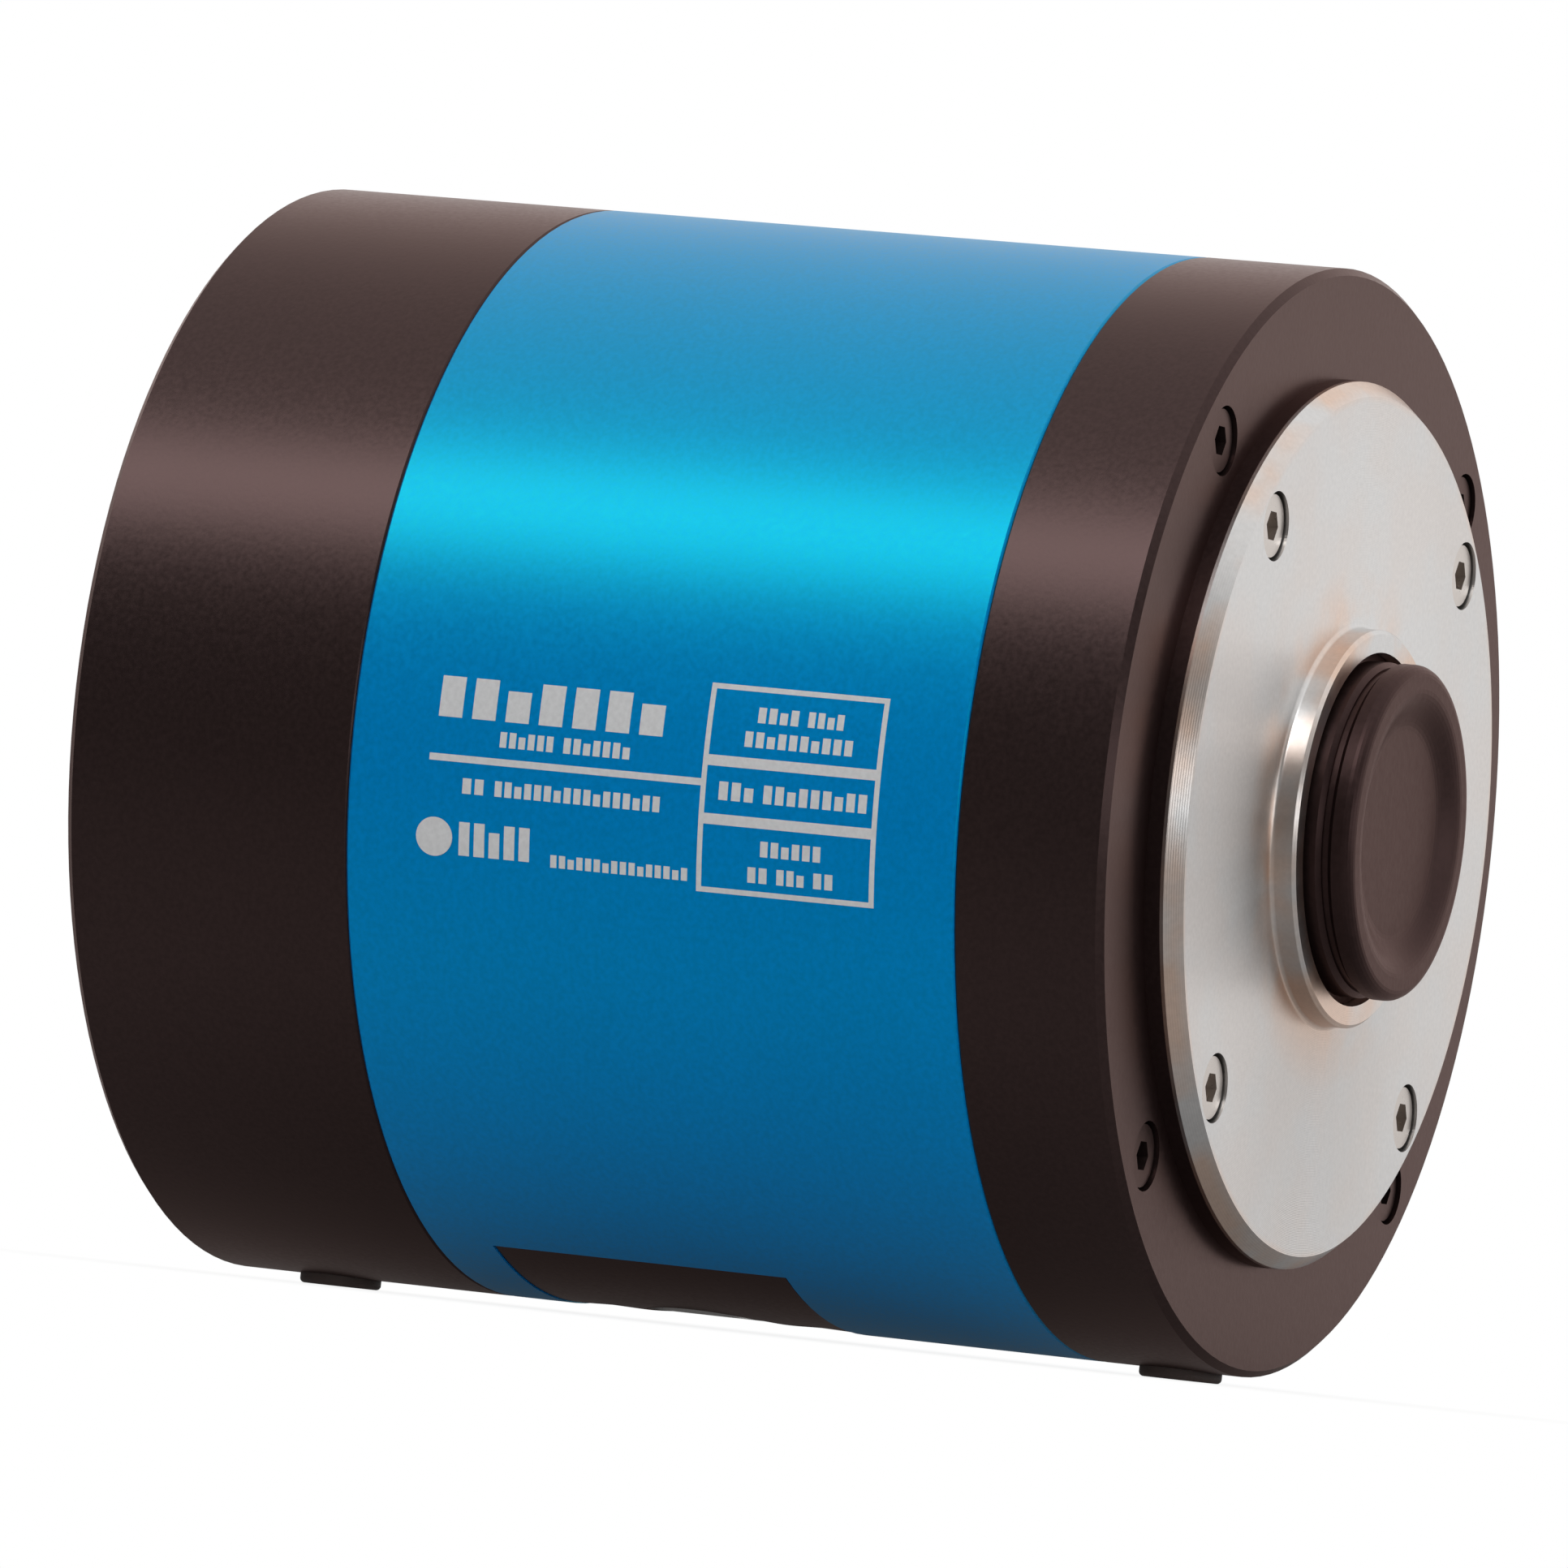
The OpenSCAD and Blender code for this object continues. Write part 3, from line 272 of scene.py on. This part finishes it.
def new_finish(name, colour, roughness, metallic=0.0, gloss_tint=(1, 1, 1), ior=1.5,
               grain=GRAIN, bump=0.15, depth=0.00003, mottle=0.05, speck=0.10):
    """A solid finish: its colour varies by a slow mottle and a fine speck, and its roughness and
    height by the same fine grain. All patterns lie on Object coordinates."""
    material, tree, shader = new_material(name)
    place = object_place(tree)
    slow = noise(tree, place, MOTTLE, detail=4.0)
    fine = noise(tree, place, grain)
    shade = combine(tree, "MULTIPLY",
                    spread(tree, slow, 1.0 - mottle, 1.0 + mottle),
                    spread(tree, fine, 1.0 - speck, 1.0 + speck, *NOISE_MIDDLE))
    swing = 0.07
    set_inputs(tree, shader, {
        "Metallic": metallic,
        "IOR": ior,
        "Specular Tint": (*gloss_tint, 1),
        "Base Color": tinted(tree, colour, shade),
        "Roughness": spread(tree, fine, max(0.02, roughness - swing), min(1.0, roughness + swing)),
        "Normal": relief(tree, fine, bump, depth)})
    return material


def turned_aluminium():
    """Bright turned aluminium about the optical axis: faint streaks run outwards, because the
    pattern depends only on the direction from the axis; tool rings run around it, as a wave of
    the distance from the axis; and a painted reflection, a copper tint in patches of a slow
    noise, is strongest at the boss and on the rim."""
    material, tree, shader = new_material("turned_aluminium")
    ring_pace = 52000.0  # radians per metre, which is a ring each 0.12 mm
    boss_edge = (0.0142, 0.0200)  # metres from the axis, over which the painted reflection dies away
    disc_edge = (0.0305, 0.0315)  # and over which it comes back
    place = object_place(tree)
    flat = add_node(tree, "VectorMath", {0: place, 1: (1, 0, 1)}, operation="MULTIPLY")
    outward = add_node(tree, "VectorMath", {0: flat.outputs["Vector"]}, operation="NORMALIZE")
    reach = add_node(tree, "VectorMath", {0: flat.outputs["Vector"]}, operation="LENGTH")
    distance = reach.outputs["Value"]
    streak = noise(tree, outward.outputs["Vector"], 7.0, detail=5.0)
    reflection_patches = noise(tree, place, 110.0, detail=3.0)
    grain = noise(tree, place, GRAIN)
    rings = combine(tree, "SINE", combine(tree, "MULTIPLY", distance, ring_pace))
    shade = combine(tree, "MULTIPLY",
                    spread(tree, streak, 0.975, 1.025, *NOISE_MIDDLE),
                    spread(tree, grain, 0.96, 1.04, *NOISE_MIDDLE))
    # A painted reflection: a copper tint near the boss and at the rim, broken into patches by a
    # slow noise.
    boss = spread(tree, distance, 0.80, 0.0, *boss_edge)
    rim = spread(tree, distance, 0.12, 0.75, *disc_edge)
    painted_copper_reflection = combine(tree, "MULTIPLY",
                      combine(tree, "MAXIMUM", boss, rim),
                      spread(tree, reflection_patches, 0.0, 1.0, 0.38, 0.56))
    # B is the painted reflection's copper tint, mixed into the metal's colour.
    metal = add_node(tree, "Mix", {"A": (0.70, 0.695, 0.69, 1), "B": (0.78, 0.55, 0.42, 1),
                                   "Factor": painted_copper_reflection}, data_type="RGBA")
    set_inputs(tree, shader, {
        "Metallic": 1.0,
        "Base Color": tinted(tree, metal.outputs["Result"], shade),
        "Roughness": spread(tree, streak, 0.27, 0.33, *NOISE_MIDDLE),
        "Normal": relief(tree, combine(tree, "ADD", rings, grain), 0.12, 0.00002)})
    return material


def clear_glass():
    """Polished, coated glass with a faint unevenness in its gloss."""
    material = new_finish("clear_glass", (0.93, 0.98, 1.0), roughness=0.08, ior=1.47,
                          bump=0.0, mottle=0.01, speck=0.0)
    shader = material.node_tree.nodes["Principled BSDF"]
    shader.inputs["Transmission Weight"].default_value = 1.0
    return material


FINISHES = {
    # satin, anodised or blackened: a gloss tint, where there is one, is the dye's colour
    "black_anodised": dict(colour=(0.050, 0.031, 0.030), roughness=0.32, metallic=0.82,
                           gloss_tint=(1.0, 0.82, 0.78), bump=0.20),
    "blue_anodised": dict(colour=(0.0002, 0.195, 0.62), roughness=0.35, ior=2.4,
                          gloss_tint=(0.0, 0.93, 0.90), bump=0.15),
    "black_screws": dict(colour=(0.060, 0.039, 0.037), roughness=0.34, metallic=0.82,
                         gloss_tint=(1.0, 0.82, 0.78), bump=0.08),
    "dark_anodised_ring": dict(colour=(0.02, 0.018, 0.018), roughness=0.5, bump=0.2),

    # mouldings and rubber
    "plug_plastic": dict(colour=(0.045, 0.026, 0.025), roughness=0.40, metallic=0.85,
                         gloss_tint=(1.0, 0.80, 0.76), bump=0.35, grain=1800.0),
    "seal_rubber": dict(colour=(0.016, 0.015, 0.015), roughness=0.5),
    "foot_rubber": dict(colour=(0.055, 0.038, 0.034), roughness=0.6, bump=0.4, grain=1500.0),
    "white_plastic": dict(colour=(0.62, 0.62, 0.62), roughness=0.55),
    "black_moulding": dict(colour=(0.018, 0.017, 0.017), roughness=0.42, bump=0.35),
    "blue_plastic": dict(colour=(0.012, 0.09, 0.50), roughness=0.42),
    "fan_plastic": dict(colour=(0.020, 0.019, 0.019), roughness=0.38, bump=0.3),
    "lamp_lens": dict(colour=(0.10, 0.50, 0.16), roughness=0.12),
    "lead_insulation": dict(colour=(0.015, 0.015, 0.015), roughness=0.4),

    # bare metals
    "steel_screws": dict(colour=(0.66, 0.61, 0.57), roughness=0.30, metallic=1.0, speck=0.04,
                         bump=0.05),
    "steel_parts": dict(colour=(0.60, 0.59, 0.58), roughness=0.3, metallic=1.0),
    "heat_metal": dict(colour=(0.74, 0.74, 0.74), roughness=0.38, metallic=1.0),
    "pellet_metal": dict(colour=(0.30, 0.32, 0.35), roughness=0.4, metallic=1.0),
    "gold_contacts": dict(colour=(0.95, 0.68, 0.26), roughness=0.2, metallic=1.0),
    "bush_bronze": dict(colour=(0.55, 0.34, 0.16), roughness=0.42, metallic=1.0),
    "copper_winding": dict(colour=(0.72, 0.26, 0.11), roughness=0.32, metallic=1.0, grain=1200.0),

    # ceramics, boards and the sensor
    "ceramic_package": dict(colour=(0.10, 0.09, 0.10), roughness=0.6, bump=0.3),
    "white_ceramic": dict(colour=(0.82, 0.81, 0.78), roughness=0.55),
    "silicon_die": dict(colour=(0.03, 0.055, 0.06), roughness=0.12, metallic=0.6, mottle=0.02),
    "green_board": dict(colour=(0.008, 0.11, 0.045), roughness=0.28, mottle=0.12, grain=900.0),
    "magnet_ferrite": dict(colour=(0.05, 0.05, 0.052), roughness=0.55),
}


def coat_cad_nodes():
    """Gives every CAD node the finish of its slot in the record; returns the finishes."""
    finishes = {slot: new_finish(slot, **values) for slot, values in FINISHES.items()}
    finishes["turned_aluminium"] = turned_aluminium()
    finishes["clear_glass"] = clear_glass()
    for row in frame["record"]["subparts"]:
        mesh = frame["nodes"][row["node"]].data
        if not mesh.materials:
            mesh.materials.append(None)
        for i in range(len(mesh.materials)):
            mesh.materials[i] = finishes[row["material_slot"]]
    return finishes


# ---- printed marks on the sleeve -----------------------------------------------------------

# Each row of strokes: the y of its rear end, its length towards the lens side, the angle of its
# middle from straight up towards -X, its height, the widths of its groups, and the pitch of its
# strokes, or 0 for a solid line. Lengths are in millimetres and angles in degrees.
STROKE_ROWS = [
    (55.6, 18.0, 87.6, 2.9, (18.0,), 2.57),
    (50.7, 10.2, 91.5, 1.1, (4.3, 5.3), 0.72),
    (56.0, 21.1, 93.8, 0.50, (21.1,), 0.0),
    (53.3, 15.4, 96.5, 1.1, (1.9, 12.9), 0.76),
    (53.4, 5.8, 101.9, 2.4, (5.8,), 1.16),
    (46.3, 10.7, 103.3, 0.9, (10.7,), 0.66),
    (31.3, 6.7, 86.6, 1.1, (3.3, 2.9), 0.80),
    (32.1, 8.4, 89.1, 1.1, (8.4,), 0.80),
    (33.7, 11.5, 94.5, 1.3, (2.9, 8.1), 0.86),
    (30.3, 4.8, 100.0, 1.1, (4.8,), 0.80),
    (31.2, 6.7, 102.7, 1.1, (1.7, 2.3, 1.7), 0.80),
]


def wrapped_patch(radius, front, rear, top, bottom):
    """A piece of a cylinder about the optical axis, between two places along it and two angles
    from straight up towards -X: a grid with a row of points for each degree, where x is minus
    the radius times the angle's sine and z is the radius times its cosine. Returns its points
    and its four-sided faces."""
    rows = int(abs(bottom - top)) + 2
    angle, y = np.meshgrid(np.radians(np.linspace(top, bottom, rows)), np.array([front, rear]),
                           indexing="ij")
    points = np.stack([-radius * np.sin(angle), y, radius * np.cos(angle)], axis=-1).reshape(-1, 3)
    first = np.arange(rows - 1) * 2
    return points, np.stack([first, first + 1, first + 3, first + 2], axis=-1)


def wrapped_spot(radius, y, angle, size):
    """A round spot on the same cylinder: a fan of three-sided faces from its middle to 32 points
    at the distance size around it. Returns its points and its faces."""
    turn = np.linspace(0.0, 2.0 * math.pi, 33)[:-1]
    around = math.radians(angle) + np.concatenate([[0.0], size * np.sin(turn) / radius])
    along = y - np.concatenate([[0.0], size * np.cos(turn)])
    points = np.stack([-radius * np.sin(around), along, radius * np.cos(around)], axis=-1)
    rim = np.arange(len(turn))
    return points, np.stack([np.zeros_like(rim), 1 + rim, 1 + (rim + 1) % len(turn)], axis=-1)


def stroke_row(radius, per_mm, start, length, angle, height, groups, pitch):
    """One row of ink: its groups share out what is left of its length as gaps, and each group is
    cut into whole strokes, 0.7 of their pitch wide. In each run of four strokes the third one
    is shorter at its top. per_mm is the angle of one millimetre around the sleeve."""
    gap = (length - sum(groups)) / max(1, len(groups) - 1)
    half = height / 2 * per_mm
    patches = []
    for group in groups:
        count = max(1, round(group / pitch)) if pitch else 1
        step = group / count
        width = step * (0.70 if count > 1 else 1.0)
        for i in range(count):
            drop = 0.24 * height * per_mm if count > 1 and i % 4 == 2 else 0.0
            rear = start - i * step
            patches.append(wrapped_patch(radius, (rear - width) * MM, rear * MM,
                                         angle - half + drop, angle + half))
        start -= group + gap
    return patches


def panel(radius, per_mm):
    """A plain rectangle with two cross bars, each twice as wide as the rectangle's own line, and
    its two ends, drawn in the gaps between the bars."""
    rear, front, line = 35.1, 21.6, 0.38
    wide = line * per_mm
    bars = [(84.0, wide / 2), (91.5, wide), (97.4, wide), (104.6, wide / 2)]
    patches = [wrapped_patch(radius, front * MM, rear * MM, angle - half, angle + half)
               for angle, half in bars]
    for y in (front, rear - line):
        for (upper, upper_half), (lower, lower_half) in zip(bars, bars[1:]):
            patches.append(wrapped_patch(radius, y * MM, (y + line) * MM,
                                         upper + upper_half, lower - lower_half))
    return patches


def print_marks():
    """Pale ink on the sleeve's -X side: rows of short plain strokes where a label has its lines,
    a round spot, and a plain panel. Each patch's points follow the last one's in one mesh, and a
    thin film gives them a thickness, inwards."""
    _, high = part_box("sleeve")
    radius = high[0] + INK_RISE
    per_mm = math.degrees(MM / radius)
    patches = []
    for row in STROKE_ROWS:
        patches += stroke_row(radius, per_mm, *row)
    patches.append(wrapped_spot(radius, 55.3 * MM, 101.9, 1.4 * MM))
    patches += panel(radius, per_mm)
    firsts = np.cumsum([0] + [len(points) for points, _ in patches])
    faces = [face for (_, own), first in zip(patches, firsts) for face in (own + first).tolist()]
    mesh = bpy.data.meshes.new("side_print")
    mesh.from_pydata(np.concatenate([points for points, _ in patches]).tolist(), [], faces)
    mesh.materials.append(new_finish("label_ink", (0.74, 0.75, 0.76), roughness=0.5,
                                     mottle=0.04, speck=0.05, bump=0.05))
    marks = bpy.data.objects.new("side_print", mesh)
    bpy.context.scene.collection.objects.link(marks)
    film = marks.modifiers.new("film", "SOLIDIFY")
    film.thickness = INK_FILM
    film.offset = -1.0
    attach(marks, "housing")


# ---- screw threads -------------------------------------------------------------------------

def merged_copy(node):
    """A closed copy of a CAD node's mesh: points that agree to a tenth of a micrometre become
    one, and triangles that lose a side by it are left out."""
    source = frame["nodes"][node].data
    points = np.empty(len(source.vertices) * 3)
    source.vertices.foreach_get("co", points)
    points = points.reshape(-1, 3)
    source.calc_loop_triangles()
    corners = np.empty(len(source.loop_triangles) * 3, int)
    source.loop_triangles.foreach_get("vertices", corners)
    keys = np.round(points / 1e-7).astype(np.int64)
    _, first, same = np.unique(keys, axis=0, return_index=True, return_inverse=True)
    faces = same.reshape(-1)[corners].reshape(-1, 3)
    whole = (faces != np.roll(faces, 1, axis=1)).all(axis=1)
    mesh = bpy.data.meshes.new(node + "_threaded")
    mesh.from_pydata(points[first].tolist(), [], faces[whole].tolist())
    return mesh


def helix_cutter(crest, root, pitch, start, end, turn):
    """A closed V-shaped bar wound into a helix: at each step its three corners lie at the inner
    radius, at the root and at the inner radius again, and the step moves one pitch per turn.
    The inner radius is a little inside the crest, and the flanks stand 30 degrees off the
    thread's own plane. turn places it, from the Z axis."""
    steps_per_turn = 72
    inner = crest - 0.35 * (root - crest)
    half = (root - inner) * math.tan(math.radians(30))
    turns = np.arange(int((end - start) / pitch * steps_per_turn) + 1) / steps_per_turn
    angle, z = 2 * math.pi * turns, start + pitch * turns
    points = np.stack([np.stack([r * np.cos(angle), r * np.sin(angle), z + rise], axis=-1)
                       for r, rise in ((inner, -half), (root, 0.0), (inner, half))],
                      axis=1).reshape(-1, 3)
    first = np.arange(len(turns) - 1) * 3
    following = first + 3
    sides = [np.stack([first + i, following + i, following + (i + 1) % 3, first + (i + 1) % 3],
                      axis=-1) for i in range(3)]
    last = len(points) - 3
    ends = [[0, 1, 2], [last + 2, last + 1, last]]
    mesh = bpy.data.meshes.new("cutter")
    mesh.from_pydata(points.tolist(), [], np.concatenate(sides).tolist() + ends)
    mesh.transform(turn)
    cutter = bpy.data.objects.new("cutter", mesh)
    bpy.context.scene.collection.objects.link(cutter)
    return cutter


def cut_thread(node, mount, material, root, pitch, start, end, turn):
    """Stands in for a CAD node, with a screw thread cut into its plain bore, whose radius is the
    thread's crest. Lengths are in millimetres."""
    crest = MOUNTS[mount]["dims"]["r_mm"] * MM
    piece = bpy.data.objects.new(node + "_threaded", merged_copy(node))
    bpy.context.scene.collection.objects.link(piece)
    cutter = helix_cutter(crest, root * MM, pitch * MM, start * MM, end * MM, turn)
    carve = piece.modifiers.new("thread", "BOOLEAN")
    carve.operation = "DIFFERENCE"
    carve.solver = "EXACT"
    carve.object = cutter
    carved = piece.evaluated_get(bpy.context.evaluated_depsgraph_get())
    done = bpy.data.meshes.new_from_object(carved)
    piece.modifiers.clear()
    piece.data = done
    bpy.data.objects.remove(cutter)
    done.shade_smooth()
    done.set_sharp_from_angle(angle=math.radians(28))
    done.materials.clear()
    done.materials.append(material)
    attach(piece, "housing")
    return piece


def thread_lens_mount(material):
    """The lens mount's thread, 32 turns to the inch, along its bore towards +Y."""
    to_rear = Matrix.Rotation(math.radians(-90), 4, "X")
    flange = cut_thread("c_mount_flange", "c_mount", material,
                        root=12.70, pitch=INCH / 32, start=2.2, end=7.3, turn=to_rear)
    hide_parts("c_mount_flange")


def thread_tripod_socket(material):
    """The tripod socket's thread, 20 turns to the inch, up through the whole insert and past
    both of its ends."""
    low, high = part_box("tripod_insert")
    socket = MOUNTS["tripod_socket"]["pos_m"]
    rise = Matrix.Translation((socket[0], socket[1], low[2]))
    length = (high[2] - low[2]) / MM
    past = 0.8
    insert = cut_thread("tripod_insert", "tripod_socket", material,
                        root=3.17, pitch=INCH / 20, start=-past, end=length + past, turn=rise)
    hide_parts("tripod_insert")


aim_camera()
light_studio()
lay_floor()
finishes = coat_cad_nodes()
print_marks()
thread_lens_mount(finishes["turned_aluminium"])
thread_tripod_socket(finishes["steel_parts"])
